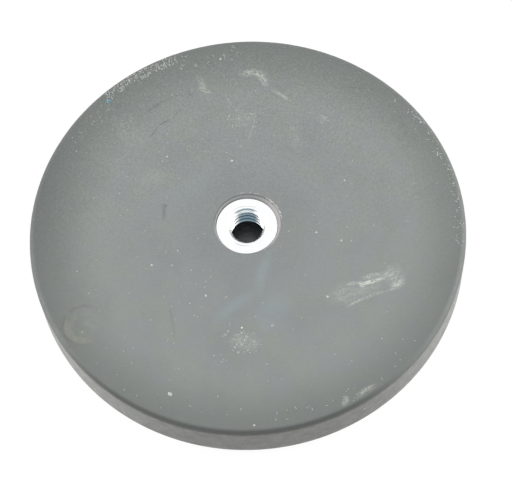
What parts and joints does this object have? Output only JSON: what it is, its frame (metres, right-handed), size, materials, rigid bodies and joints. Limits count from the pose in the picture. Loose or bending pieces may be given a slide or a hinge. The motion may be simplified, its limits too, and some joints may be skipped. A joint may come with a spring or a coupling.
{
  "type": "rubber-coated disc magnet",
  "caption": "Flat round holding magnet in a moulded rubber jacket, with a flush threaded bush in the centre of its back face.",
  "frame": {"origin": "centre of the working face, the flat underside that holds on steel", "axes": "+Z along the thread axis, out of the threaded hole in the back; the disc is round about it"},
  "size_m": [0.066, 0.066, 0.0085],
  "materials": {
    "rubber": "matte",
    "zinc_plated_steel": "satin",
    "plate_steel": "satin",
    "nickel_plated_magnet": "polished"
  },
  "bodies": {
    "root": {"rubber_jacket": "rubber", "threaded_bush": "zinc_plated_steel", "steel_back_plate": "plate_steel", "magnet_inner_01": "nickel_plated_magnet", "magnet_inner_02": "nickel_plated_magnet", "magnet_inner_03": "nickel_plated_magnet", "magnet_inner_04": "nickel_plated_magnet", "magnet_outer_01": "nickel_plated_magnet", "magnet_outer_02": "nickel_plated_magnet", "magnet_outer_03": "nickel_plated_magnet", "magnet_outer_04": "nickel_plated_magnet", "magnet_outer_05": "nickel_plated_magnet", "magnet_outer_06": "nickel_plated_magnet", "magnet_outer_07": "nickel_plated_magnet", "magnet_outer_08": "nickel_plated_magnet", "magnet_outer_09": "nickel_plated_magnet", "magnet_outer_10": "nickel_plated_magnet"}
  },
  "joints": []
}
